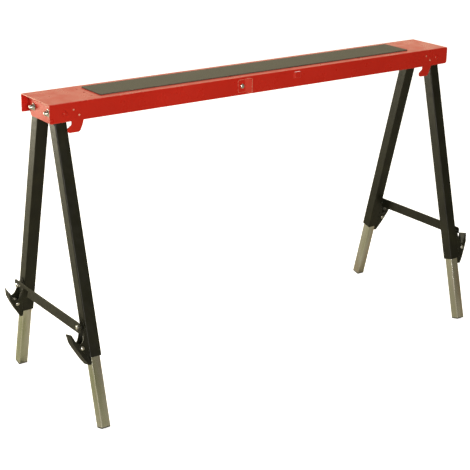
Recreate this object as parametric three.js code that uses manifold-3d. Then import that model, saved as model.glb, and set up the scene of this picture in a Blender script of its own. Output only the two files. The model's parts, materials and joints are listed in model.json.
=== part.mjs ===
// Folding sawhorse: a pressed channel beam on two pairs of telescopic legs.
// Each pair of legs closes like scissors, then folds up into the beam.
// Millimetres, +Z up, +X along the beam, -Y towards the latch side.
// The origin is on the floor, below the middle of the beam.
import * as THREE from "three";
import { mergeVertices } from "three/addons/utils/BufferGeometryUtils.js";
import Module from "manifold-3d";

const wasm = await Module();
wasm.setup();

// ---- Driving dimensions ----------------------------------------------------

const GAP = 0.3; // clearance kept between faces that rest on each other
const RUNNING = 0.35; // radial clearance of a pin in the hole it turns in

const BEAM = {
  length: 1000,
  width: 116,
  depth: 36,
  top: 615,
  sheet: 1.5,
  bend: 3,
  leftCorner: 2.5,
  rightCorner: 6,
};

const MAT = { length: 780, width: 76, thickness: 2, corner: 3, shift: 8, glue: 0.1 };

const TOP_HOLES = { radius: 2.2, spacing: 29.5, fromMat: 14 };

const HOOK = { leftFromEnd: 45, rightFromEnd: 73.5 };

// Each corner is its distance along from the hook's root, its drop below the
// flange's edge and, where it is rounded, how far from it the curve starts.
const HOOK_OUTLINE = [
  [0, -1.5],
  [0, 6.5, 1.5],
  [-9.5, 13.5, 1.5],
  [-8.5, 20, 0.5],
  [-5, 22, 1.5],
  [17, 22, 4],
  [23, 9, 2],
  [26, -1.5],
];

const KEEPER = { x: 72.5, drop: 11, width: 19, height: 12, rise: 3, ramp: 3 };

const LATCH = {
  boltX: -68.7,
  boltDrop: 17.5,
  boltRadius: 3,
  sheet: 1.5,
  tail: 10.5,
  bend: 8,
  flareLength: 12,
  flareOut: 9,
  halfHeight: 13,
  tailCorner: 5,
  flareHalfHeight: 15,
  flareStep: 3,
  flareCorner: 3,
};

const LATCH_HEAD = { radius: 5, edge: 4.5, flat: 2, rim: 1.5, height: 3 };

const LEG = {
  tube: 25,
  wall: 1.5,
  corner: 2.5,
  lean: 14.1,
  inset: 28,
  boltDrop: 22,
  flangeRoom: 14,
  boltRadius: 4,
  crown: 12,
  rimHeight: 140,
};

const INNER = { clearance: 1, corner: 2, overlap: 150 };

const FOOT = { cap: 2, insert: 12, clearance: 0.4 };

const CARRIER = {
  sheet: 2,
  corner: 3,
  sideGap: 0.4,
  endGap: 1,
  topDrop: 9,
  lipDepth: 8,
  height: 33,
  footHalfWidth: 43,
  earDepth: 21,
  earSlant: 12,
  innerDepth: 20,
};

const FOLD = { offset: 4, drop: 20, radius: 4, headRadius: 5, head: 2, dome: 1.5 };

const BOLT = { washerRadius: 7.3, washer: 1.2, headRadius: 4.9, head: 8.6, dome: 1.8 };

const NUT = { radius: 7, thickness: 4, thread: 0.6 };

const BRACKET = { sheet: 1.5, edgeGap: 0.3, tongueTop: 76, tongueHalf: 7.5, shoulder: 5, corner: 3 };

const LEVER = { sheet: 1.4, pivotOut: 13, pivotUp: 21.6, pinRadius: 2.5 };

// Side views on a leg. Each corner is its distance out from the tube's
// outboard face, its height above the tube's rim and, where it is rounded,
// how far from it the curve starts.
const EAR_OUTLINE = [
  [GAP, 2],
  [5, 2, 1],
  [11, 13, 3],
  [17, 15.5, 3],
  [19, 24, 4],
  [15.5, 30, 2],
  [11, 32.5, 3],
  [5.5, 45, 4],
  [4.5, 56, 2],
  [GAP, 58],
];
const LEVER_BACK = [
  [3.5, -13.5],
  [12.5, 0],
  [23, 19.5],
  [29.5, 33],
  [33, 51],
];
const LEVER_INSIDE = [
  [31, 52, 1],
  [24.3, 37.5, 2],
  [20.5, 31.5, 3],
  [13, 30.5, 4],
  [6, 25, 4],
  [5.5, 10, 3],
];
const LEVER_NOSE = { top: -3, bottom: -13.5, corner: 1.5, pocketFloor: -4 };

const PIN_HEAD = { radius: 4.2, height: 2, dome: 0.8 };

const SPRING = {
  wire: 1.4,
  radius: 5.2,
  turns: 3.5,
  pitch: 2.1,
  tail: 21,
  tailLean: 4,
  sides: 6,
  stepsPerTurn: 10,
};

// How finely round shapes are faceted.
const FACETS = { turned: 14, hole: 12, corner: 3 };

const BRACE = { sheet: 2, width: 22, fromRim: 60, standOff: 8.3 };

const STUD = { neck: 3, shoulder: 4.5, headRadius: 5, head: 3, dome: 1.2 };

// The open hook at the brace's far end: how far the slot reaches back from the
// stud at its roof and at its mouth.
const BRACE_SLOT = { roof: 50, mouth: 44, corner: 3 };

// ---- Sizes worked out from them --------------------------------------------

const lean = THREE.MathUtils.degToRad(LEG.lean);
const flangeBottom = BEAM.top - BEAM.depth;
const legX = -(BEAM.length / 2 - LEG.inset);
const boltZ = BEAM.top - LEG.boltDrop;
const boltSpacing = BEAM.width - 2 * (BEAM.sheet + LEG.flangeRoom + LEG.tube / 2);
const foldX = legX + FOLD.offset;
const foldZ = BEAM.top - FOLD.drop;
const outerLength = (boltZ - LEG.rimHeight) / Math.cos(lean);
const innerTube = LEG.tube - 2 * (LEG.wall + INNER.clearance);
const soleAt = (boltZ - (innerTube / 2) * Math.sin(lean)) / Math.cos(lean);
const innerTop = outerLength - INNER.overlap;
const innerBottom = soleAt - FOOT.cap - GAP;
const braceDrop = outerLength - BRACE.fromRim;
const braceSpan = boltSpacing + 2 * braceDrop * Math.sin(lean);
const plateInner = legX - LEG.tube / 2 - CARRIER.endGap;
const plateOuter = plateInner - CARRIER.sheet;
const innerPlateNear = legX + LEG.tube / 2 + CARRIER.endGap;
const innerPlateFar = innerPlateNear + CARRIER.sheet;
const carrierHalf = BEAM.width / 2 - BEAM.sheet - CARRIER.sideGap;

// ---- Materials -------------------------------------------------------------

const finish = (color, roughness, metalness) => () =>
  new THREE.MeshStandardMaterial({ color, roughness, metalness });
const redPaint = finish(0xb8201c, 0.35, 0.1);
const blackPaint = finish(0x23231f, 0.45, 0.1);
const yellowZinc = finish(0xa9a077, 0.35, 0.9);
const brightZinc = finish(0xcfd0cc, 0.25, 0.95);
const springSteel = finish(0x8d8d88, 0.35, 0.9);
const matRubber = finish(0x5c6054, 0.85, 0);
const footPlastic = finish(0x3b4038, 0.7, 0);

// ---- Solids ----------------------------------------------------------------

function solidOf(geometry) {
  const bare = geometry.clone();
  bare.deleteAttribute("normal");
  bare.deleteAttribute("uv");
  const merged = mergeVertices(bare, 1e-4);
  const mesh = new wasm.Mesh({
    numProp: 3,
    vertProperties: merged.attributes.position.array,
    triVerts: new Uint32Array(merged.index.array),
  });
  return new wasm.Manifold(mesh);
}

function geometryOf(solid) {
  const mesh = solid.getMesh();
  const geometry = new THREE.BufferGeometry();
  const points = new Float32Array(mesh.vertProperties);
  geometry.setAttribute("position", new THREE.BufferAttribute(points, 3));
  geometry.setIndex(new THREE.BufferAttribute(new Uint32Array(mesh.triVerts), 1));
  geometry.computeVertexNormals();
  return geometry;
}

const joined = (...solids) => solids.reduce((whole, next) => whole.add(next));
const cutBy = (body, ...tools) => tools.reduce((left, tool) => left.subtract(tool), body);

// A closed outline. Each corner is [x, y, cut], and a corner with a cut is
// rounded by a curve that starts and ends that far from it.
function outline(corners) {
  const shape = new THREE.Shape();
  const at = (i) => new THREE.Vector2(...corners[(i + corners.length) % corners.length]);
  corners.forEach(([x, y, cut = 0], i) => {
    const here = new THREE.Vector2(x, y);
    const start = at(i - 1).sub(here).setLength(cut).add(here);
    const end = at(i + 1).sub(here).setLength(cut).add(here);
    if (i === 0) shape.moveTo(start.x, start.y);
    else shape.lineTo(start.x, start.y);
    if (cut > 0) shape.quadraticCurveTo(x, y, end.x, end.y);
  });
  shape.closePath();
  return shape;
}

function rectangle(halfX, halfY, cut) {
  return outline([
    [-halfX, -halfY, cut],
    [halfX, -halfY, cut],
    [halfX, halfY, cut],
    [-halfX, halfY, cut],
  ]);
}

function extrude(shape, depth) {
  return new THREE.ExtrudeGeometry(shape, {
    depth,
    bevelEnabled: false,
    curveSegments: FACETS.corner,
  });
}

// An outline in X and Y, between two heights.
function plateXY(shape, low, high) {
  return solidOf(extrude(shape, high - low).translate(0, 0, low));
}

// An outline in X and Z, between two values of Y.
function plateXZ(shape, low, high) {
  return solidOf(extrude(shape, high - low).rotateX(Math.PI / 2).translate(0, high, 0));
}

// An outline in Y and Z, between two values of X.
function plateYZ(shape, low, high) {
  const geometry = extrude(shape, high - low).rotateX(Math.PI / 2).rotateZ(Math.PI / 2);
  return solidOf(geometry.translate(low, 0, 0));
}

// A round solid on the Y axis. Its profile is a list of [radius, y], upwards.
function lathe(profile) {
  const points = profile.map(([radius, y]) => new THREE.Vector2(radius, y));
  return new THREE.LatheGeometry(points, FACETS.turned);
}

const alongY = (geometry, x, y, z) => solidOf(geometry.translate(x, y, z));
const alongX = (geometry, x, y, z) => {
  return solidOf(geometry.rotateZ(-Math.PI / 2).translate(x, y, z));
};

function rod(radius, length, sides = FACETS.hole) {
  return new THREE.CylinderGeometry(radius, radius, length, sides);
}

function addPiece(group, name, solid, material) {
  const mesh = new THREE.Mesh(geometryOf(solid), material());
  mesh.name = name;
  group.add(mesh);
}

// ---- Beam, mat and latch ---------------------------------------------------

// The inverted channel: its section, trimmed to the side view of its flanges.
function beamChannel() {
  const half = BEAM.width / 2;
  const inside = half - BEAM.sheet;
  const underTop = BEAM.top - BEAM.sheet;
  const innerBend = BEAM.bend - BEAM.sheet;
  const section = outline([
    [-half, flangeBottom],
    [-inside, flangeBottom],
    [-inside, underTop, innerBend],
    [inside, underTop, innerBend],
    [inside, flangeBottom],
    [half, flangeBottom],
    [half, BEAM.top, BEAM.bend],
    [-half, BEAM.top, BEAM.bend],
  ]);
  const end = BEAM.length / 2;
  const sideView = outline([
    [-end, flangeBottom, BEAM.leftCorner],
    [end, flangeBottom, BEAM.rightCorner],
    [end, BEAM.top],
    [-end, BEAM.top],
  ]);
  const channel = plateYZ(section, -end, end);
  return channel.intersect(plateXZ(sideView, -half - GAP, half + GAP));
}

// A hook hanging from the front flange, its mouth open towards -X.
function flangeHook(rootX) {
  const corners = HOOK_OUTLINE.map(([along, drop, cut]) => [rootX + along, flangeBottom - drop, cut]);
  const front = -BEAM.width / 2;
  return plateXZ(outline(corners), front, front + BEAM.sheet);
}

// The strip pressed out of the front flange that a second sawhorse's latch
// drops behind, and the window that it leaves.
function keeper(half, ramp, back, front) {
  const plan = outline([
    [KEEPER.x - half, back],
    [KEEPER.x - half, -BEAM.width / 2],
    [KEEPER.x - half + ramp, front],
    [KEEPER.x + half - ramp, front],
    [KEEPER.x + half, -BEAM.width / 2],
    [KEEPER.x + half, back],
  ]);
  const middle = BEAM.top - KEEPER.drop;
  return plateXY(plan, middle - KEEPER.height / 2, middle + KEEPER.height / 2);
}

function keeperStrip() {
  const flange = -BEAM.width / 2;
  return keeper(KEEPER.width / 2, KEEPER.ramp, flange + BEAM.sheet / 2, flange - KEEPER.rise);
}

function keeperWindow() {
  const flange = -BEAM.width / 2;
  const half = KEEPER.width / 2 - BEAM.sheet;
  const front = flange - KEEPER.rise + BEAM.sheet;
  return keeper(half, KEEPER.ramp - BEAM.sheet, flange + BEAM.sheet + GAP, front);
}

function topHoles() {
  const x = MAT.shift - MAT.length / 2 - TOP_HOLES.fromMat;
  return [-1, 0, 1].map((row) => {
    const hole = rod(TOP_HOLES.radius, 4 * BEAM.sheet).rotateX(Math.PI / 2);
    return solidOf(hole.translate(x, row * TOP_HOLES.spacing, BEAM.top));
  });
}

function topBeam() {
  const front = -BEAM.width / 2;
  const foldHoles = [-1, 1].map((side) => {
    return alongY(rod(FOLD.radius + RUNNING, 2 * BEAM.width), side * foldX, 0, foldZ);
  });
  const latchHole = rod(LATCH.boltRadius + GAP, 4 * BEAM.sheet);
  const whole = joined(
    beamChannel(),
    flangeHook(-BEAM.length / 2 + HOOK.leftFromEnd),
    flangeHook(BEAM.length / 2 - HOOK.rightFromEnd),
    keeperStrip(),
  );
  return cutBy(
    whole,
    keeperWindow(),
    ...topHoles(),
    ...foldHoles,
    alongY(latchHole, LATCH.boltX, front, BEAM.top - LATCH.boltDrop),
  );
}

function gripMat() {
  const shape = rectangle(MAT.length / 2, MAT.width / 2, MAT.corner);
  const low = BEAM.top + MAT.glue;
  const solid = extrude(shape, MAT.thickness).translate(MAT.shift, 0, low);
  return solidOf(solid);
}

// The latch: flat round its bolt, then flared away from the flange.
function latchPlate() {
  const back = -BEAM.width / 2 - GAP;
  const left = LATCH.boltX - LATCH.tail;
  const bendX = LATCH.boltX + LATCH.bend;
  const tipX = bendX + LATCH.flareLength;
  const plan = outline([
    [left, back - LATCH.sheet],
    [bendX - LATCH.sheet / 2, back - LATCH.sheet],
    [tipX - LATCH.sheet, back - LATCH.flareOut],
    [tipX, back - LATCH.flareOut],
    [bendX + LATCH.sheet / 2, back],
    [left, back],
  ]);
  const z = BEAM.top - LATCH.boltDrop;
  const flareX = bendX + LATCH.flareStep;
  const side = outline([
    [left, z - LATCH.halfHeight, LATCH.tailCorner],
    [bendX, z - LATCH.halfHeight, 1],
    [flareX, z - LATCH.flareHalfHeight, 1],
    [tipX, z - LATCH.flareHalfHeight, LATCH.flareCorner],
    [tipX, z + LATCH.flareHalfHeight, LATCH.flareCorner],
    [flareX, z + LATCH.flareHalfHeight, 1],
    [bendX, z + LATCH.halfHeight, 1],
    [left, z + LATCH.halfHeight, LATCH.tailCorner],
  ]);
  const strip = plateXY(plan, z - LATCH.flareHalfHeight, z + LATCH.flareHalfHeight);
  const trimmed = strip.intersect(plateXZ(side, back - 2 * LATCH.flareOut, back + GAP));
  const hole = rod(LATCH.boltRadius + RUNNING, 4 * LATCH.sheet);
  return cutBy(trimmed, alongY(hole, LATCH.boltX, back, z));
}

function latchBolt() {
  const seat = LATCH.sheet + 2 * GAP;
  const profile = [
    [0, -seat - LATCH_HEAD.height],
    [LATCH_HEAD.flat, -seat - LATCH_HEAD.height],
    [LATCH_HEAD.edge, -seat - LATCH_HEAD.rim],
    [LATCH_HEAD.radius, -seat],
    [LATCH.boltRadius, -seat],
    [LATCH.boltRadius, BEAM.sheet],
    [0, BEAM.sheet],
  ];
  return alongY(lathe(profile), LATCH.boltX, -BEAM.width / 2, BEAM.top - LATCH.boltDrop);
}

// ---- Leg carrier: turns in the beam's end and holds two leg bolts ----------

function carrierEndPlate() {
  const top = BEAM.top - CARRIER.topDrop;
  const bottom = top - CARRIER.height;
  const shape = outline([
    [-CARRIER.footHalfWidth, bottom, CARRIER.corner],
    [CARRIER.footHalfWidth, bottom, CARRIER.corner],
    [carrierHalf, top - CARRIER.lipDepth, CARRIER.corner],
    [carrierHalf, top],
    [-carrierHalf, top],
    [-carrierHalf, top - CARRIER.lipDepth, CARRIER.corner],
  ]);
  return plateYZ(shape, plateOuter, plateInner);
}

function carrierInnerPlate() {
  const top = BEAM.top - CARRIER.topDrop - CARRIER.sheet;
  const bottom = top - CARRIER.innerDepth;
  const shape = outline([
    [-carrierHalf, bottom, CARRIER.corner],
    [carrierHalf, bottom, CARRIER.corner],
    [carrierHalf, top],
    [-carrierHalf, top],
  ]);
  return plateYZ(shape, innerPlateNear, innerPlateFar);
}

function carrierEar(side) {
  const top = BEAM.top - CARRIER.topDrop;
  const bottom = top - CARRIER.earDepth;
  const shape = outline([
    [plateOuter, top - CARRIER.lipDepth],
    [plateOuter + CARRIER.earSlant, bottom, CARRIER.corner],
    [innerPlateFar, bottom, CARRIER.corner],
    [innerPlateFar, top, CARRIER.corner],
    [plateOuter, top],
  ]);
  const outer = side * carrierHalf;
  const inner = outer - side * CARRIER.sheet;
  return plateXZ(shape, Math.min(inner, outer), Math.max(inner, outer));
}

function legCarrier() {
  const boltHoles = [-1, 1].map((side) => {
    const bore = rod(LEG.boltRadius + GAP, 3 * LEG.tube);
    return alongX(bore, legX, (side * boltSpacing) / 2, boltZ);
  });
  const foldHole = alongY(rod(FOLD.radius + RUNNING, 2 * BEAM.width), foldX, 0, foldZ);
  const whole = joined(
    carrierEndPlate(),
    carrierInnerPlate(),
    carrierEar(-1),
    carrierEar(1),
  );
  return cutBy(whole, foldHole, ...boltHoles);
}

// The rivet that a carrier turns on, its domed head outside the flange.
function foldRivet(side) {
  const outside = GAP;
  const inside = -(BEAM.sheet + CARRIER.sideGap + CARRIER.sheet + GAP);
  const innerEnd = inside - FOLD.dome;
  const profile = [
    [0, innerEnd],
    [FOLD.headRadius, innerEnd],
    [FOLD.headRadius, inside],
    [FOLD.radius, inside],
    [FOLD.radius, outside],
    [FOLD.headRadius, outside],
    [FOLD.headRadius - FOLD.dome, outside + FOLD.head],
    [0, outside + FOLD.head],
  ];
  const rivet = lathe(profile);
  if (side < 0) rivet.rotateZ(Math.PI);
  return alongY(rivet, foldX, (side * BEAM.width) / 2, foldZ);
}

// The bolt that a leg swings on, from its washer to past its nut.
function legBolt(side) {
  const seat = plateOuter - GAP;
  const washer = seat - BOLT.washer;
  const top = washer - BOLT.head;
  const end = innerPlateFar + GAP + NUT.thickness + NUT.thread;
  const profile = [
    [0, top],
    [BOLT.headRadius - BOLT.dome, top],
    [BOLT.headRadius, top + BOLT.dome],
    [BOLT.headRadius, washer],
    [BOLT.washerRadius, washer],
    [BOLT.washerRadius, seat],
    [LEG.boltRadius, seat],
    [LEG.boltRadius, end],
    [0, end],
  ];
  return alongX(lathe(profile), 0, (side * boltSpacing) / 2, boltZ);
}

function legNut(side) {
  const near = innerPlateFar + GAP;
  const nut = rod(NUT.radius, NUT.thickness, 6);
  const bore = rod(LEG.boltRadius + GAP, 3 * NUT.thickness);
  const x = near + NUT.thickness / 2;
  const y = (side * boltSpacing) / 2;
  return cutBy(alongX(nut, x, y, boltZ), alongX(bore, x, y, boltZ));
}

// ---- Leg, in its own frame -------------------------------------------------
// The origin is on the leg bolt, -Z runs down the leg, -X faces outboard.

// How far out from the tube's outboard face, and how far up from its rim.
const out = (distance) => -(LEG.tube / 2 + distance);
const up = (distance) => distance - outerLength;
const outUp = (corners) => corners.map(([u, v, cut]) => [out(u), up(v), cut]);

function squareTube(size, wall, corner, low, high) {
  const skin = plateXY(rectangle(size / 2, size / 2, corner), low, high);
  const inside = size / 2 - wall;
  const bore = plateXY(rectangle(inside, inside, corner - wall / 2), low - 1, high + 1);
  return skin.subtract(bore);
}

function outerLeg() {
  const tube = squareTube(LEG.tube, LEG.wall, LEG.corner, -outerLength, LEG.crown);
  const boltHole = alongX(rod(LEG.boltRadius + RUNNING, 2 * LEG.tube), 0, 0, 0);
  const studHole = alongX(rod(STUD.neck + GAP, LEG.tube / 2), out(0), 0, -braceDrop);
  return cutBy(tube, boltHole, studHole);
}

function innerLeg() {
  return squareTube(innerTube, LEG.wall, INNER.corner, -innerBottom, -innerTop);
}

function footPlug() {
  const insideHalf = innerTube / 2 - LEG.wall - FOOT.clearance;
  const cap = plateXY(
    rectangle(innerTube / 2, innerTube / 2, INNER.corner),
    -soleAt,
    -soleAt + FOOT.cap,
  );
  const insert = plateXY(
    rectangle(insideHalf, insideHalf, 1),
    -soleAt + FOOT.cap / 2,
    -soleAt + FOOT.cap + FOOT.insert,
  );
  return joined(cap, insert);
}

// The bracket on the outboard face: a web with a tongue, and an ear each side.
function leverBracket() {
  const half = LEG.tube / 2 - BRACKET.edgeGap;
  const tongue = BRACKET.tongueHalf;
  const bottom = up(EAR_OUTLINE[0][1]);
  const neck = up(BRACE.fromRim + BRACKET.shoulder);
  const web = outline([
    [-half, bottom],
    [half, bottom],
    [half, up(BRACE.fromRim), BRACKET.corner],
    [tongue, neck, 1],
    [tongue, up(BRACKET.tongueTop), tongue],
    [-tongue, up(BRACKET.tongueTop), tongue],
    [-tongue, neck, 1],
    [-half, up(BRACE.fromRim), BRACKET.corner],
  ]);
  const face = out(GAP);
  const solid = plateYZ(web, face - BRACKET.sheet, face);
  const ear = outline(outUp(EAR_OUTLINE).reverse());
  const ears = [-1, 1].map((side) => {
    const inner = side * (half - BRACKET.sheet);
    return plateXZ(ear, Math.min(inner, side * half), Math.max(inner, side * half));
  });
  const studHole = alongX(rod(STUD.neck + GAP, LEG.tube / 2), out(0), 0, -braceDrop);
  const pinHole = rod(LEVER.pinRadius + GAP, 2 * LEG.tube);
  const pinBore = alongY(pinHole, out(LEVER.pivotOut), 0, up(LEVER.pivotUp));
  return cutBy(joined(solid, ...ears), studHole, pinBore);
}

// The squeeze lever: a channel whose closed nose bears on the inner leg.
function lockLever() {
  const half = LEG.tube / 2 - BRACKET.edgeGap - BRACKET.sheet - GAP;
  const nose = GAP - LEG.wall - INNER.clearance;
  const { top, bottom, corner, pocketFloor } = LEVER_NOSE;
  const side = outline(
    outUp([
      [nose, top - corner, corner],
      [nose, bottom, corner],
      ...LEVER_BACK,
      ...LEVER_INSIDE,
      [nose + 2 * corner, top, corner],
    ]).reverse(),
  );
  const inside = LEVER_BACK.slice(1).map(([u, v]) => [u - LEVER.sheet, v]);
  const floorOut = inside[0][0] + (pocketFloor - inside[0][1]) / 2;
  const beyond = LEG.tube;
  const roof = inside.at(-1)[1] + beyond;
  const pocket = outline(
    outUp([
      [-beyond, pocketFloor],
      [floorOut, pocketFloor],
      ...inside,
      [inside.at(-1)[0] + LEVER.sheet, roof],
      [-beyond, roof],
    ]).reverse(),
  );
  const hollow = half - LEVER.sheet;
  const pinHole = rod(LEVER.pinRadius + RUNNING, 2 * LEG.tube);
  return cutBy(
    plateXZ(side, -half, half),
    plateXZ(pocket, -hollow, hollow),
    alongY(pinHole, out(LEVER.pivotOut), 0, up(LEVER.pivotUp)),
  );
}

function leverPin() {
  const seat = LEG.tube / 2 - BRACKET.edgeGap + GAP;
  const top = seat + PIN_HEAD.height;
  const headEdge = PIN_HEAD.radius - PIN_HEAD.dome;
  const halfProfile = [
    [LEVER.pinRadius, seat],
    [PIN_HEAD.radius, seat],
    [PIN_HEAD.radius, top - PIN_HEAD.dome],
    [headEdge, top],
    [0, top],
  ];
  const mirrored = halfProfile.map(([radius, y]) => [radius, -y]).reverse();
  const pin = lathe([...mirrored, ...halfProfile]);
  return alongY(pin, out(LEVER.pivotOut), 0, up(LEVER.pivotUp));
}

// The wound wire round the lever pin, between the lever's cheeks. One tail
// runs up to the bracket's web.
function leverSpring() {
  const firstY = (-SPRING.turns / 2) * SPRING.pitch;
  const points = [
    new THREE.Vector3(SPRING.radius + SPRING.tailLean, firstY, SPRING.tail),
    new THREE.Vector3(SPRING.radius + SPRING.tailLean / 2, firstY, SPRING.tail / 2),
  ];
  const steps = SPRING.turns * SPRING.stepsPerTurn;
  for (let i = 0; i <= steps; i += 1) {
    const turn = i / SPRING.stepsPerTurn;
    const angle = 2 * Math.PI * turn;
    const x = SPRING.radius * Math.cos(angle);
    points.push(new THREE.Vector3(x, firstY + turn * SPRING.pitch, -SPRING.radius * Math.sin(angle)));
  }
  const section = [];
  for (let i = 0; i < SPRING.sides; i += 1) {
    const angle = (2 * Math.PI * i) / SPRING.sides;
    const corner = new THREE.Vector2(Math.cos(angle), Math.sin(angle));
    section.push(corner.multiplyScalar(SPRING.wire / 2));
  }
  const coil = new THREE.ExtrudeGeometry(new THREE.Shape(section), {
    steps,
    bevelEnabled: false,
    extrudePath: new THREE.CatmullRomCurve3(points),
  });
  return alongY(coil, out(LEVER.pivotOut), 0, up(LEVER.pivotUp));
}

// The shouldered stud that carries one end of the brace.
function braceStud() {
  const foot = GAP - LEG.wall;
  const shoulder = 2 * GAP + BRACKET.sheet + GAP;
  const strap = BRACE.standOff + 2 * GAP + BRACE.sheet;
  const profile = [
    [0, foot],
    [STUD.neck, foot],
    [STUD.neck, shoulder],
    [STUD.shoulder, shoulder],
    [STUD.shoulder, BRACE.standOff],
    [STUD.neck, BRACE.standOff],
    [STUD.neck, strap],
    [STUD.headRadius, strap],
    [STUD.headRadius, strap + STUD.head - STUD.dome],
    [STUD.headRadius - STUD.dome, strap + STUD.head],
    [0, strap + STUD.head],
  ];
  const stud = lathe(profile).rotateZ(Math.PI / 2);
  return solidOf(stud.translate(out(0), 0, -braceDrop));
}

// ---- Brace -----------------------------------------------------------------

// The strap between the two studs. Its far end is a hook, open below, that
// drops over the second stud.
function braceStrap() {
  const y = -braceSpan / 2;
  const z = boltZ - braceDrop * Math.cos(lean);
  const half = BRACE.width / 2;
  const seat = STUD.neck + 2 * RUNNING;
  const reach = y + braceSpan;
  const shape = outline([
    [y - half, z - half, half],
    [reach - BRACE_SLOT.mouth, z - half, 1],
    [reach - BRACE_SLOT.roof, z + seat, BRACE_SLOT.corner],
    [reach + seat, z + seat, 1],
    [reach + seat, z - STUD.neck],
    [reach + half, z - STUD.neck, 1],
    [reach + half, z + half, half / 2],
    [y - half, z + half, half],
  ]);
  const face = legX + out(BRACE.standOff + GAP);
  const strap = plateYZ(shape, face - BRACE.sheet, face);
  return cutBy(strap, alongX(rod(STUD.neck + RUNNING, 4 * STUD.head), face, y, z));
}

// ---- Assembly --------------------------------------------------------------

function buildLeg(end, name, side) {
  const leg = new THREE.Group();
  leg.position.set(legX, (side * boltSpacing) / 2, boltZ);
  leg.rotation.x = side * lean;
  addPiece(leg, `${name}_outer_leg`, outerLeg(), blackPaint);
  addPiece(leg, `${name}_inner_leg`, innerLeg(), yellowZinc);
  addPiece(leg, `${name}_foot_plug`, footPlug(), footPlastic);
  addPiece(leg, `${name}_lever_bracket`, leverBracket(), blackPaint);
  addPiece(leg, `${name}_lock_lever`, lockLever(), blackPaint);
  addPiece(leg, `${name}_lever_pin`, leverPin(), brightZinc);
  addPiece(leg, `${name}_lever_spring`, leverSpring(), springSteel);
  addPiece(leg, `${name}_brace_stud`, braceStud(), brightZinc);
  end.add(leg);
  addPiece(end, `${name}_leg_bolt`, legBolt(side), brightZinc);
  addPiece(end, `${name}_leg_nut`, legNut(side), brightZinc);
  addPiece(end, `${name}_fold_rivet`, foldRivet(side), brightZinc);
}

// One end of the sawhorse, drawn for the left end. The right end is the same
// assembly turned half round, so its brace pivots on the other leg.
function buildEnd(label, legNames, turn) {
  const end = new THREE.Group();
  end.rotation.z = turn;
  addPiece(end, `${label}_leg_carrier`, legCarrier(), redPaint);
  addPiece(end, `${label}_brace`, braceStrap(), blackPaint);
  buildLeg(end, legNames[0], -1);
  buildLeg(end, legNames[1], 1);
  return end;
}

const sawhorse = new THREE.Group();
addPiece(sawhorse, "top_beam", topBeam(), redPaint);
addPiece(sawhorse, "grip_mat", gripMat(), matRubber);
addPiece(sawhorse, "latch_plate", latchPlate(), redPaint);
addPiece(sawhorse, "latch_bolt", latchBolt(), brightZinc);
sawhorse.add(buildEnd("left", ["front_left", "back_left"], 0));
sawhorse.add(buildEnd("right", ["back_right", "front_right"], Math.PI));

export default sawhorse;
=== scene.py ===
import json
import math

import bmesh
import bpy
from mathutils import Matrix, Vector


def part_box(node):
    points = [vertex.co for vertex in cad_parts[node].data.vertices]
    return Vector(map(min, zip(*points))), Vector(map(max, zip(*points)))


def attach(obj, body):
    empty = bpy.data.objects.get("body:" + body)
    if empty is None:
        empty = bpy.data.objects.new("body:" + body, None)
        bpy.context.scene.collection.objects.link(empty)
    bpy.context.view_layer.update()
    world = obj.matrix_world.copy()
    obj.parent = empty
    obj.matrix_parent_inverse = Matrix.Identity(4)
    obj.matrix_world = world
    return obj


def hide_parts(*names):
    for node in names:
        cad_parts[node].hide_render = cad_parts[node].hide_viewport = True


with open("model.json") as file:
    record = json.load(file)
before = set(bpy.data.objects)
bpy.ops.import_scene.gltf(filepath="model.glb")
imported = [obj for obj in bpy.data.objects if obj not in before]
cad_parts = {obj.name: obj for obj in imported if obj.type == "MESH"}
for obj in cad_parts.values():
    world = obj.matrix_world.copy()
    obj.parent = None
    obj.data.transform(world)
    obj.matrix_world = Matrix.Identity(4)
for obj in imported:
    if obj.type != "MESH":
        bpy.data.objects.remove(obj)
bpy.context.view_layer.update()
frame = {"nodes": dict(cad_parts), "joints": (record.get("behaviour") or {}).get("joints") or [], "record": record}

# Looks for the folding sawhorse. Metres, +Z up, +X along the beam, -Y towards
# the side with the hooks and the latch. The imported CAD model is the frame. The
# sizes of edges, bumps and turned pieces are in millimetres, and MM turns them
# into metres.

MM = 0.001

RECORD = frame["record"]
JOINTS = {joint["name"]: joint for joint in frame["joints"]}
BODY_OF = {
    node: body for body, nodes in RECORD["behaviour"]["bodies"].items() for node in nodes
}
SLOT_OF = {part["node"]: part["material_slot"] for part in RECORD["subparts"]}
LEGS = ("front_left", "back_left", "front_right", "back_right")
LEAN = math.radians(14.1)

# ---- Camera ------------------------------------------------------------------

CAMERA_PLACE = (-1.5139, -2.0783, 1.1703)
CAMERA_YAW = math.radians(35.33)  # from +Y towards +X
CAMERA_PITCH = math.radians(-19.75)
CAMERA_ROLL = math.radians(0.56)
CAMERA_LENS = 96.33
CAMERA_SENSOR = 36
CAMERA_NEAR = 0.05
CAMERA_FAR = 60


def make_camera():
    data = bpy.data.cameras.new("camera")
    data.lens = CAMERA_LENS
    data.sensor_width = CAMERA_SENSOR
    data.clip_start = CAMERA_NEAR
    data.clip_end = CAMERA_FAR
    level = math.cos(CAMERA_PITCH)
    forward = Vector(
        (
            math.sin(CAMERA_YAW) * level,
            math.cos(CAMERA_YAW) * level,
            math.sin(CAMERA_PITCH),
        )
    )
    level_right = Vector((math.cos(CAMERA_YAW), -math.sin(CAMERA_YAW), 0))
    level_up = level_right.cross(forward)
    cosine = math.cos(CAMERA_ROLL)
    sine = math.sin(CAMERA_ROLL)
    right = cosine * level_right + sine * level_up
    up = cosine * level_up - sine * level_right
    turn = Matrix((right, up, -forward)).transposed().to_4x4()
    camera = bpy.data.objects.new("camera", data)
    camera.matrix_world = Matrix.Translation(CAMERA_PLACE) @ turn
    bpy.context.scene.collection.objects.link(camera)
    bpy.context.scene.camera = camera


# ---- Floor and light ---------------------------------------------------------

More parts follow.
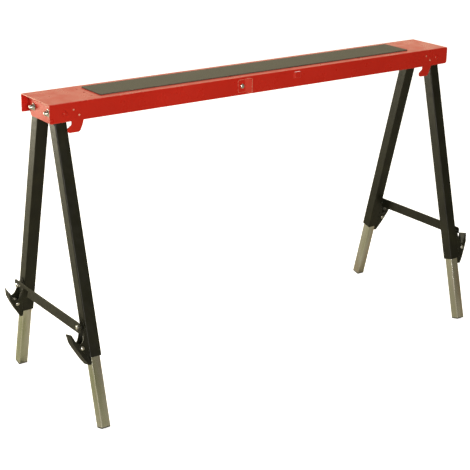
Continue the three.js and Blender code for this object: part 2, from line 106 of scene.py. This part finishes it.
AMBIENT = 0.14
BACKDROP = 1.15
BACKDROP_COLOUR = (1, 0.90, 0.62, 1)
BACKDROP_TOWARDS = Vector((0.55, 0.80, 0.25)).normalized()
# How near a direction is to the backdrop's middle, as a cosine, where it fades
# out and where it is full.
BACKDROP_FADED = 0.55
BACKDROP_FULL = 0.95

FLOOR_REACH = 14
FLOOR_GLOW = 0.86
FLOOR_SEEN = (0.92, 0.92, 0.91, 1)
FLOOR_LIGHTING = (0.42, 0.41, 0.34, 1)

MIDDLE = (0, 0, 0.4)
LEFT_END = (-0.47, 0, 0.5)
LIGHTS = {
    "top_softbox": {
        "place": (0, 0.9, 3.0),
        "target": MIDDLE,
        "size": (3.0, 2.0),
        "power": 44,
        "colour": (1, 0.96, 0.86),
    },
    "left_card": {
        "place": (-1.45, 1.35, 0.55),
        "target": LEFT_END,
        "size": (1.1, 0.8),
        "power": 26,
        "colour": (1, 0.94, 0.72),
    },
    "front_fill": {
        "place": (-1.8, -3.4, 1.2),
        "target": MIDDLE,
        "size": (1.4, 1.0),
        "power": 84,
        "colour": (1, 0.96, 0.92),
    },
}


def make_world():
    """White behind the object. Its light is weak, but for a bright backdrop."""
    world = bpy.data.worlds.new("studio")
    world.use_nodes = True
    nodes = world.node_tree.nodes
    links = world.node_tree.links
    nodes.clear()
    output = nodes.new("ShaderNodeOutputWorld")
    seen = nodes.new("ShaderNodeBackground")
    seen.inputs["Color"].default_value = (1, 1, 1, 1)
    seen.inputs["Strength"].default_value = 1.0
    direction = nodes.new("ShaderNodeTexCoord")
    towards = nodes.new("ShaderNodeVectorMath")
    towards.operation = "DOT_PRODUCT"
    towards.inputs[1].default_value = BACKDROP_TOWARDS
    strength = nodes.new("ShaderNodeMapRange")
    strength.interpolation_type = "SMOOTHSTEP"
    strength.inputs["From Min"].default_value = BACKDROP_FADED
    strength.inputs["From Max"].default_value = BACKDROP_FULL
    strength.inputs["To Min"].default_value = AMBIENT
    strength.inputs["To Max"].default_value = BACKDROP
    lighting = nodes.new("ShaderNodeBackground")
    lighting.inputs["Color"].default_value = BACKDROP_COLOUR
    path = nodes.new("ShaderNodeLightPath")
    mix = nodes.new("ShaderNodeMixShader")
    links.new(direction.outputs["Generated"], towards.inputs[0])
    links.new(towards.outputs["Value"], strength.inputs["Value"])
    links.new(strength.outputs["Result"], lighting.inputs["Strength"])
    links.new(path.outputs["Is Camera Ray"], mix.inputs["Fac"])
    links.new(lighting.outputs["Background"], mix.inputs[1])
    links.new(seen.outputs["Background"], mix.inputs[2])
    links.new(mix.outputs["Shader"], output.inputs["Surface"])
    bpy.context.scene.world = world


def floor_material():
    """Lit white paper to look at, that throws back less light than it shows."""
    material = bpy.data.materials.new("floor")
    material.use_nodes = True
    nodes = material.node_tree.nodes
    links = material.node_tree.links
    seen = nodes["Principled BSDF"]
    seen.inputs["Base Color"].default_value = FLOOR_SEEN
    seen.inputs["Roughness"].default_value = 0.9
    seen.inputs["Specular IOR Level"].default_value = 0.1
    seen.inputs["Emission Color"].default_value = (1, 1, 1, 1)
    seen.inputs["Emission Strength"].default_value = FLOOR_GLOW
    lighting = nodes.new("ShaderNodeBsdfDiffuse")
    lighting.inputs["Color"].default_value = FLOOR_LIGHTING
    path = nodes.new("ShaderNodeLightPath")
    mix = nodes.new("ShaderNodeMixShader")
    links.new(path.outputs["Is Camera Ray"], mix.inputs["Fac"])
    links.new(lighting.outputs["BSDF"], mix.inputs[1])
    links.new(seen.outputs["BSDF"], mix.inputs[2])
    links.new(mix.outputs["Shader"], nodes["Material Output"].inputs["Surface"])
    return material


def make_floor():
    mesh = bpy.data.meshes.new("floor")
    reach = FLOOR_REACH
    corners = [(-reach, -reach, 0), (reach, -reach, 0), (reach, reach, 0), (-reach, reach, 0)]
    mesh.from_pydata(corners, [], [(0, 1, 2, 3)])
    mesh.materials.append(floor_material())
    floor = bpy.data.objects.new("floor", mesh)
    bpy.context.scene.collection.objects.link(floor)


def make_light(name, place, target, size, power, colour):
    data = bpy.data.lights.new(name, "AREA")
    data.shape = "RECTANGLE"
    data.size, data.size_y = size
    data.energy = power
    data.color = colour
    light = bpy.data.objects.new(name, data)
    direction = Vector(target) - Vector(place)
    turn = direction.to_track_quat("-Z", "Y").to_matrix().to_4x4()
    light.matrix_world = Matrix.Translation(place) @ turn
    bpy.context.scene.collection.objects.link(light)


# ---- Material nodes ----------------------------------------------------------


class Paint:
    """A material under construction: a Principled shader and its node tree."""

    def __init__(self, name, roughness, metallic=0.0, specular=0.5):
        self.material = bpy.data.materials.new(name)
        self.material.use_nodes = True
        self.tree = self.material.node_tree
        self.shader = self.tree.nodes["Principled BSDF"]
        self.shader.inputs["Roughness"].default_value = roughness
        self.shader.inputs["Metallic"].default_value = metallic
        self.shader.inputs["Specular IOR Level"].default_value = specular

    def node(self, kind, **values):
        node = self.tree.nodes.new(kind)
        for key, value in values.items():
            setattr(node, key, value)
        return node

    def link(self, source, target):
        self.tree.links.new(source, target)

    def places(self, stretch=(1, 1, 1), turn=(0, 0, 0)):
        """Object coordinates, turned and stretched. A stretch below 1 lengthens."""
        coordinates = self.node("ShaderNodeTexCoord")
        turned = self.node("ShaderNodeMapping")
        turned.inputs["Rotation"].default_value = turn
        stretched = self.node("ShaderNodeMapping")
        stretched.inputs["Scale"].default_value = stretch
        self.link(coordinates.outputs["Object"], turned.inputs["Vector"])
        self.link(turned.outputs["Vector"], stretched.inputs["Vector"])
        return stretched.outputs["Vector"]

    def noise(self, places, per_metre, detail=3.0, rough=0.5):
        node = self.node("ShaderNodeTexNoise")
        node.inputs["Scale"].default_value = per_metre
        node.inputs["Detail"].default_value = detail
        node.inputs["Roughness"].default_value = rough
        self.link(places, node.inputs["Vector"])
        return node.outputs["Fac"]

    def spread(self, value, low, high, to_low=0.0, to_high=1.0):
        node = self.node("ShaderNodeMapRange", interpolation_type="SMOOTHSTEP")
        node.inputs["From Min"].default_value = low
        node.inputs["From Max"].default_value = high
        node.inputs["To Min"].default_value = to_low
        node.inputs["To Max"].default_value = to_high
        self.link(value, node.inputs["Value"])
        return node.outputs["Result"]

    def ramp(self, value, stops):
        node = self.node("ShaderNodeValToRGB")
        elements = node.color_ramp.elements
        while len(elements) < len(stops):
            elements.new(0.5)
        for element, (place, colour) in zip(elements, stops):
            element.position = place
            element.color = (*colour, 1)
        self.link(value, node.inputs["Fac"])
        return node.outputs["Color"]

    def mix(self, factor, first, second):
        """first where factor is 0, second where it is 1; second is a plain colour."""
        node = self.node("ShaderNodeMix", data_type="RGBA")
        self.link(factor, node.inputs["Factor"])
        self.link(first, node.inputs["A"])
        node.inputs["B"].default_value = (*second, 1)
        return node.outputs["Result"]

    def times(self, first, second):
        node = self.node("ShaderNodeMath", operation="MULTIPLY")
        self.link(first, node.inputs[0])
        self.link(second, node.inputs[1])
        return node.outputs["Value"]

    def edges(self, radius, sharp=0.80, flat=0.985):
        """1 along sharp edges and 0 on flat faces, by how far the normal turns."""
        bevel = self.node("ShaderNodeBevel", samples=4)
        bevel.inputs["Radius"].default_value = radius * MM
        geometry = self.node("ShaderNodeNewGeometry")
        dot = self.node("ShaderNodeVectorMath", operation="DOT_PRODUCT")
        self.link(bevel.outputs["Normal"], dot.inputs[0])
        self.link(geometry.outputs["Normal"], dot.inputs[1])
        return self.spread(dot.outputs["Value"], sharp, flat, 1.0, 0.0)

    def bump(self, height, strength, distance):
        node = self.node("ShaderNodeBump")
        node.inputs["Strength"].default_value = strength
        node.inputs["Distance"].default_value = distance * MM
        self.link(height, node.inputs["Height"])
        self.link(node.outputs["Normal"], self.shader.inputs["Normal"])

    def colour(self, output):
        self.link(output, self.shader.inputs["Base Color"])

    def roughness(self, output):
        self.link(output, self.shader.inputs["Roughness"])


# ---- Materials ---------------------------------------------------------------


def red_powder_coat(name, wear_and_highlight_amount, reach, gloss):
    """Glossy red powder coat: orange peel, faint dust, and lighter edges, partly wear and partly a painted
    highlight.
    """
    paint = Paint(name, 0.3, specular=gloss)
    paint.shader.inputs["Specular Tint"].default_value = (1.0, 0.84, 0.58, 1)
    places = paint.places()
    broad = paint.noise(places, per_metre=9, detail=4)
    colour = paint.ramp(
        broad,
        [(0.25, (0.58, 0.016, 0.009)), (0.55, (0.63, 0.019, 0.011)), (0.80, (0.66, 0.024, 0.015))],
    )
    patchy = paint.spread(paint.noise(places, per_metre=260, detail=5), 0.2, 0.5)
    # Painted highlight, partly wear: a pale salmon mixed in along the edges, in patches.
    wear_and_highlight_mask = paint.times(paint.edges(reach), patchy)
    colour = paint.mix(paint.spread(wear_and_highlight_mask, 0.0, 1.0, 0.0, wear_and_highlight_amount), colour, (0.90, 0.52, 0.38))
    paint.colour(colour)
    paint.roughness(paint.spread(paint.noise(places, per_metre=40, detail=6), 0.3, 0.75, 0.26, 0.40))
    paint.bump(paint.noise(places, per_metre=620, detail=2), strength=0.2, distance=0.04)
    return paint.material


def black_powder_coat():
    """Satin black powder coat with an olive tinge, lighter at its edges, partly as wear and partly as a painted
    highlight.
    """
    paint = Paint("black_paint", 0.42, specular=0.32)
    places = paint.places()
    broad = paint.noise(places, per_metre=22, detail=5)
    colour = paint.ramp(
        broad,
        [(0.3, (0.010, 0.010, 0.006)), (0.55, (0.015, 0.015, 0.008)), (0.75, (0.023, 0.023, 0.011))],
    )
    patchy = paint.spread(paint.noise(places, per_metre=330, detail=5), 0.35, 0.7)
    # Painted highlight, partly wear: grey mixed in along the corners, in patches.
    wear_and_highlight_mask = paint.times(paint.edges(1.6), patchy)
    colour = paint.mix(paint.spread(wear_and_highlight_mask, 0.0, 1.0, 0.0, 0.6), colour, (0.20, 0.20, 0.16))
    paint.colour(colour)
    paint.roughness(paint.spread(paint.noise(places, per_metre=75, detail=6), 0.3, 0.75, 0.32, 0.52))
    paint.bump(paint.noise(places, per_metre=900, detail=3), strength=0.4, distance=0.05)
    return paint.material


def yellow_zinc(name, turn):
    """Yellow-passivated zinc: drawn lengthways, with a green and rosy bloom, and a painted highlight along its
    edges.
    """
    paint = Paint(name, 0.3, metallic=1.0)
    turned = (turn, 0, 0)
    bloom = paint.noise(paint.places((1, 1, 0.22), turned), per_metre=24, detail=2, rough=0.45)
    colour = paint.ramp(
        bloom,
        [
            (0.30, (0.56, 0.60, 0.42)),
            (0.42, (0.74, 0.75, 0.64)),
            (0.52, (0.82, 0.82, 0.78)),
            (0.62, (0.72, 0.65, 0.57)),
            (0.74, (0.58, 0.58, 0.46)),
        ],
    )
    streaks = paint.noise(paint.places((1, 1, 0.02), turned), per_metre=420, detail=4)
    dull = paint.spread(streaks, 0.45, 0.8, 0.0, 0.06)
    colour = paint.mix(dull, colour, (0.34, 0.33, 0.24))
    # Painted highlight: near-white along the corners, where they catch the light.
    painted_edge_highlight = paint.spread(paint.edges(2.8, 0.93, 0.999), 0.0, 0.7, 0.0, 1.0)
    colour = paint.mix(painted_edge_highlight, colour, (1.0, 0.99, 0.93))
    paint.colour(colour)
    paint.roughness(paint.spread(streaks, 0.3, 0.75, 0.16, 0.28))
    paint.bump(streaks, strength=0.06, distance=0.03)
    return paint.material


def bright_zinc():
    """Bright zinc plate: fine turning marks, grime that gathers in patches."""
    paint = Paint("bright_zinc", 0.25, metallic=1.0)
    places = paint.places()
    cloud = paint.noise(places, per_metre=240, detail=5)
    colour = paint.ramp(
        cloud,
        [(0.30, (0.50, 0.49, 0.43)), (0.50, (0.78, 0.78, 0.74)), (0.75, (0.90, 0.90, 0.87))],
    )
    paint.colour(colour)
    paint.roughness(paint.spread(cloud, 0.3, 0.7, 0.38, 0.2))
    paint.bump(paint.noise(places, per_metre=2600, detail=2), strength=0.25, distance=0.03)
    return paint.material


def spring_wire():
    """Drawn steel wire, oily and dull between brighter rubbed spots."""
    paint = Paint("spring_steel", 0.35, metallic=1.0)
    places = paint.places()
    rub = paint.noise(places, per_metre=420, detail=4)
    colour = paint.ramp(
        rub,
        [(0.35, (0.30, 0.29, 0.25)), (0.6, (0.52, 0.51, 0.46)), (0.8, (0.70, 0.69, 0.64))],
    )
    paint.colour(colour)
    paint.roughness(paint.spread(rub, 0.3, 0.75, 0.45, 0.25))
    paint.bump(rub, strength=0.2, distance=0.04)
    return paint.material


def mottled_rubber():
    """Grey-green rubber: crumbs of darker and lighter rubber pressed together."""
    paint = Paint("mat_rubber", 0.8, specular=0.25)
    places = paint.places()
    crumbs = paint.noise(places, per_metre=700, detail=4, rough=0.65)
    colour = paint.ramp(
        crumbs,
        [
            (0.30, (0.068, 0.065, 0.050)),
            (0.47, (0.122, 0.117, 0.087)),
            (0.60, (0.162, 0.154, 0.116)),
            (0.75, (0.250, 0.236, 0.185)),
        ],
    )
    scuffed = paint.spread(paint.noise(places, per_metre=16, detail=5), 0.5, 0.8, 0.0, 0.4)
    paint.colour(paint.mix(scuffed, colour, (0.16, 0.15, 0.11)))
    paint.roughness(paint.spread(crumbs, 0.3, 0.7, 0.72, 0.92))
    paint.bump(crumbs, strength=0.6, distance=0.25)
    return paint.material


def moulded_plastic():
    """Dark moulded plastic: a fine spark-eroded grain, scuffed on its edges."""
    paint = Paint("foot_plastic", 0.6, specular=0.35)
    places = paint.places()
    colour = paint.ramp(
        paint.noise(places, per_metre=90, detail=5),
        [(0.3, (0.026, 0.029, 0.022)), (0.7, (0.048, 0.052, 0.040))],
    )
    scuffed = paint.spread(paint.edges(0.7), 0.0, 1.0, 0.0, 0.5)
    paint.colour(paint.mix(scuffed, colour, (0.13, 0.135, 0.115)))
    paint.roughness(paint.spread(paint.noise(places, per_metre=200), 0.3, 0.7, 0.5, 0.75))
    paint.bump(paint.noise(places, per_metre=1800, detail=3), strength=0.4, distance=0.06)
    return paint.material


MATERIALS = {
    "red_paint": red_powder_coat("red_paint", 0.40, 0.9, gloss=0.42),
    "black_paint": black_powder_coat(),
    "bright_zinc": bright_zinc(),
    "spring_steel": spring_wire(),
    "mat_rubber": mottled_rubber(),
    "foot_plastic": moulded_plastic(),
}
# The zinc's streaks follow each leg's lean.
YELLOW_ZINC = {
    "front": yellow_zinc("yellow_zinc_front", LEAN),
    "back": yellow_zinc("yellow_zinc_back", -LEAN),
}

# The latch turns against the flange, and its edges are lightened the most, partly
# as wear and partly as a painted highlight. The carriers are pressed deeper, and
# their coat came out less glossy.
RED_WORN_AND_HIGHLIGHTED = red_powder_coat("red_paint_worn_and_highlighted", 0.95, 1.7, gloss=0.42)
PRESSED_RED = red_powder_coat("red_paint_pressed", 0.40, 0.9, gloss=0.20)


def material_for(node_name):
    slot = SLOT_OF[node_name]
    if node_name == "latch_plate":
        # The latch's edges get the strongest painted highlight, partly wear.
        return RED_WORN_AND_HIGHLIGHTED
    if node_name.endswith("leg_carrier"):
        return PRESSED_RED
    if slot == "yellow_zinc":
        return YELLOW_ZINC[node_name.split("_")[0]]
    return MATERIALS[slot]


# ---- Pieces ------------------------------------------------------------------

SMOOTH_UNDER = math.radians(40)
WELD_UNDER = 0.01
EDGE = 0.3
EDGES = {"top_beam": 0.4, "grip_mat": 0.5}
TURNED_SIDES = 40


def soften(piece, edge):
    """Round a piece's sharp edges by this many millimetres."""
    weld = piece.modifiers.new("weld", "WELD")
    weld.merge_threshold = WELD_UNDER * MM
    bevel = piece.modifiers.new("edge", "BEVEL")
    bevel.width = edge * MM
    bevel.segments = 2
    bevel.limit_method = "ANGLE"
    bevel.angle_limit = SMOOTH_UNDER
    bevel.harden_normals = False
    weighted = piece.modifiers.new("shading", "WEIGHTED_NORMAL")
    weighted.mode = "FACE_AREA"
    weighted.weight = 100
    weighted.keep_sharp = False


def keep_node(name, edge):
    """A CAD node that stays, with rounded edges and its own material."""
    node = frame["nodes"][name]
    node.data.materials.clear()
    node.data.materials.append(material_for(name))
    node.data.polygons.foreach_set("use_smooth", [True] * len(node.data.polygons))
    soften(node, edge)


def stand_for(piece, name):
    """A finer piece takes a CAD node's place, body and material."""
    piece.data.materials.append(material_for(name))
    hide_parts(name)
    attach(piece, BODY_OF[name])


def turned(name, profile, start, axis):
    """A round piece. The profile is (radius, distance along the axis), in mm."""
    axis = Vector(axis).normalized()
    across = axis.orthogonal().normalized()
    other = axis.cross(across)
    shape = bmesh.new()
    rings = []
    for radius, along in profile:
        middle = Vector(start) + axis * along * MM
        ring = []
        for i in range(TURNED_SIDES):
            angle = 2 * math.pi * i / TURNED_SIDES
            spoke = across * math.cos(angle) + other * math.sin(angle)
            ring.append(shape.verts.new(middle + spoke * radius * MM))
        rings.append(ring)
    for lower, upper in zip(rings, rings[1:]):
        for i in range(TURNED_SIDES):
            j = (i + 1) % TURNED_SIDES
            shape.faces.new((lower[i], lower[j], upper[j], upper[i]))
    shape.faces.new(rings[0][::-1])
    shape.faces.new(rings[-1])
    mesh = bpy.data.meshes.new(name)
    shape.to_mesh(mesh)
    shape.free()
    mesh.polygons.foreach_set("use_smooth", [True] * len(mesh.polygons))
    piece = bpy.data.objects.new(name, mesh)
    bpy.context.scene.collection.objects.link(piece)
    return piece


def dome(radius, height, start, steps=5, tip=0.05):
    """Profile points of a dome, from its rim to a tip that is a tiny flat."""
    points = []
    for i in range(steps + 1):
        angle = math.pi / 2 * i / steps
        points.append((max(radius * math.cos(angle), tip), start + height * math.sin(angle)))
    return points


def middle_of(name):
    low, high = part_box(name)
    return (low + high) / 2


def end_of(name):
    """-1 at the left end and 1 at the right end."""
    return -1 if "left" in name else 1


def side_of(name):
    """-1 at the front and 1 at the back."""
    return -1 if name.startswith("front") else 1


def length_along(name, axis):
    """A CAD node's length along axis 0, 1 or 2, in millimetres."""
    low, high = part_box(name)
    return (high[axis] - low[axis]) / MM


def domed_head(radius, collar, head, start):
    """Profile of a head: a straight collar, then a dome."""
    return [(radius, start)] + dome(radius, head - collar, start + collar)


def turned_outwards(name, profile):
    """A fine piece for a CAD node that lies along X, from its inboard end."""
    low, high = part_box(name)
    centre = middle_of(name)
    inboard = high.x if end_of(name) < 0 else low.x
    start = (inboard, centre.y, centre.z)
    piece = turned(f"{name}_fine", profile, start, (end_of(name), 0, 0))
    stand_for(piece, name)


LEG_BOLT = {
    "shank": 4.0,
    "chamfer": 0.8,
    "washer_radius": 7.3,
    "washer": 1.2,
    "washer_edge": 0.3,
    "head_radius": 4.9,
    "head": 8.6,
    "collar": 4.6,
    "step": 0.5,
    "dome_radius": 4.0,
}


def leg_bolt(leg):
    """Washer and domed head outside the carrier, and the shank to the nut."""
    name = f"{leg}_leg_bolt"
    size = LEG_BOLT
    shank, chamfer = size["shank"], size["chamfer"]
    rim, edge = size["washer_radius"], size["washer_edge"]
    seat = length_along(name, 0) - size["washer"] - size["head"]
    under_head = seat + size["washer"]
    collar_top = under_head + size["collar"]
    dome_start = collar_top + size["step"]
    dome_height = size["head"] - size["collar"] - size["step"]
    profile = [(shank - chamfer, 0), (shank, chamfer), (shank, seat)]
    profile += [(rim - edge, seat), (rim, seat + edge)]
    profile += [(rim, under_head - edge), (rim - edge, under_head)]
    profile += [(size["head_radius"], under_head), (size["head_radius"], collar_top)]
    profile += dome(size["dome_radius"], dome_height, dome_start)
    turned_outwards(name, profile)


BRACE_STUD = {
    "neck": 3,
    "shoulder": 4.5,
    "shoulder_from": 3.9,
    "shoulder_to": 9.8,
    "head_radius": 4.9,
    "head": 3.0,
    "collar": 1.0,
}


def brace_stud(leg):
    """A shouldered stud that holds the strap under its domed head."""
    name = f"{leg}_brace_stud"
    size = BRACE_STUD
    neck, shoulder = size["neck"], size["shoulder"]
    under_head = length_along(name, 0) - size["head"]
    profile = [(neck, 0), (neck, size["shoulder_from"])]
    profile += [(shoulder, size["shoulder_from"]), (shoulder, size["shoulder_to"])]
    profile += [(neck, size["shoulder_to"]), (neck, under_head)]
    profile += domed_head(size["head_radius"], size["collar"], size["head"], under_head)
    turned_outwards(name, profile)


LEVER_PIN = {"radius": 2.5, "head_radius": 4.2, "head": 2.0, "seat": 12.5}


def lever_pin(leg):
    """A pin with a domed head at both ends."""
    name = f"{leg}_lever_pin"
    joint = JOINTS[f"{leg}_lever_squeeze"]
    radius, seat = LEVER_PIN["radius"], LEVER_PIN["seat"]
    far = dome(LEVER_PIN["head_radius"], LEVER_PIN["head"], seat)
    near = [(r, -along) for r, along in reversed(far)]
    profile = near + [(radius, -seat), (radius, seat)] + far
    piece = turned(f"{name}_fine", profile, joint["pos_m"], joint["axis"])
    stand_for(piece, name)


FOLD_RIVET = {
    "shank": 4,
    "inner_radius": 4.4,
    "inner_edge": 0.5,
    "inner_head": 1.5,
    "head_radius": 5.0,
    "head": 2.0,
}


def fold_rivet(leg):
    """A rivet through the flange, its outer head a low painted dome."""
    name = f"{leg}_fold_rivet"
    size = FOLD_RIVET
    low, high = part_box(name)
    centre = middle_of(name)
    side = side_of(leg)
    shank, radius, inner_head = size["shank"], size["head_radius"], size["inner_head"]
    under_head = length_along(name, 1) - size["head"]
    profile = [(size["inner_radius"], 0), (radius, size["inner_edge"])]
    profile += [(radius, inner_head), (shank, inner_head), (shank, under_head)]
    profile += dome(radius, size["head"], under_head)
    inner = high.y if side < 0 else low.y
    piece = turned(f"{name}_fine", profile, (centre.x, inner, centre.z), (0, side, 0))
    stand_for(piece, name)


LATCH_BOLT = {"shank": 3, "head_radius": 5, "head": 3.0, "collar": 0.8}


def latch_bolt():
    """The bolt that the latch turns on, from inside the flange outwards."""
    name = "latch_bolt"
    size = LATCH_BOLT
    low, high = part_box(name)
    centre = middle_of(name)
    under_head = length_along(name, 1) - size["head"]
    profile = [(size["shank"], 0), (size["shank"], under_head)]
    profile += domed_head(size["head_radius"], size["collar"], size["head"], under_head)
    piece = turned(f"{name}_fine", profile, (centre.x, high.y, centre.z), (0, -1, 0))
    stand_for(piece, name)


SPRING = {
    "radius": 5.2,
    "wire": 0.7,
    "turns": 3.5,
    "pitch": 2.1,
    "points_per_turn": 24,
    "tail": 21,
    "tail_lean": 4,
    "tail_points": 4,
}


def spring_track():
    """The wire's path: inward, along the pin and up, in millimetres."""
    size = SPRING
    radius, per_turn, steps = size["radius"], size["points_per_turn"], size["tail_points"]
    first = -size["turns"] / 2 * size["pitch"]
    track = []
    for i in range(steps, 0, -1):
        part = i / steps
        track.append((radius + size["tail_lean"] * part, first, size["tail"] * part))
    for i in range(int(size["turns"] * per_turn) + 1):
        angle = 2 * math.pi * i / per_turn
        place = first + size["pitch"] * i / per_turn
        track.append((radius * math.cos(angle), place, -radius * math.sin(angle)))
    return track


def lever_spring(leg):
    """The wound wire round the lever pin, with one tail up to the bracket."""
    name = f"{leg}_lever_spring"
    pin = Vector(JOINTS[f"{leg}_lever_squeeze"]["pos_m"])
    up = Vector(JOINTS[f"{leg}_extension"]["axis"]).normalized()
    inward = Vector((-end_of(leg), 0, 0))
    along = up.cross(inward)
    track = spring_track()
    curve = bpy.data.curves.new(f"{name}_fine", "CURVE")
    curve.dimensions = "3D"
    curve.bevel_depth = SPRING["wire"] * MM
    curve.bevel_resolution = 4
    curve.use_fill_caps = True
    spline = curve.splines.new("POLY")
    spline.points.add(len(track) - 1)
    for point, (x, y, z) in zip(spline.points, track):
        point.co = (*(pin + (inward * x + along * y + up * z) * MM), 1)
    spline.use_smooth = True
    piece = bpy.data.objects.new(f"{name}_fine", curve)
    bpy.context.scene.collection.objects.link(piece)
    stand_for(piece, name)


# Spot welds on the front flange: how far along the beam, and how high. The
# latch bolt starts at the inner face of the flange, one sheet from the outer.
SPOT_WELDS = [(-449.9, 600.5), (-438.3, 589.2), (436.7, 602.0), (448.3, 591.5)]
SPOT_WELD_PROFILE = [(1.9, -0.2), (1.9, 0.05), (1.5, 0.2), (0.7, 0.12), (0.05, 0.1)]
SHEET = 1.5


def spot_welds():
    """Small raised rings on the front flange, where the sheets are joined."""
    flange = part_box("latch_bolt")[1].y - SHEET * MM
    for number, (x, z) in enumerate(SPOT_WELDS):
        name = f"flange_spot_weld_{number + 1}"
        piece = turned(name, SPOT_WELD_PROFILE, (x * MM, flange, z * MM), (0, -1, 0))
        # The rings' edges are lightened: painted highlight, partly wear.
        piece.data.materials.append(RED_WORN_AND_HIGHLIGHTED)
        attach(piece, "beam")


# ---- The scene ---------------------------------------------------------------

make_camera()
make_world()
make_floor()
for light_name, light in LIGHTS.items():
    make_light(light_name, **light)

REPLACED = ("leg_bolt", "brace_stud", "lever_pin", "lever_spring", "fold_rivet", "latch_bolt")
for node_name in SLOT_OF:
    if not node_name.endswith(REPLACED):
        keep_node(node_name, EDGES.get(node_name, EDGE))

for leg_name in LEGS:
    leg_bolt(leg_name)
    brace_stud(leg_name)
    lever_pin(leg_name)
    fold_rivet(leg_name)
    lever_spring(leg_name)
latch_bolt()
spot_welds()

bpy.context.scene.view_settings.view_transform = "Standard"
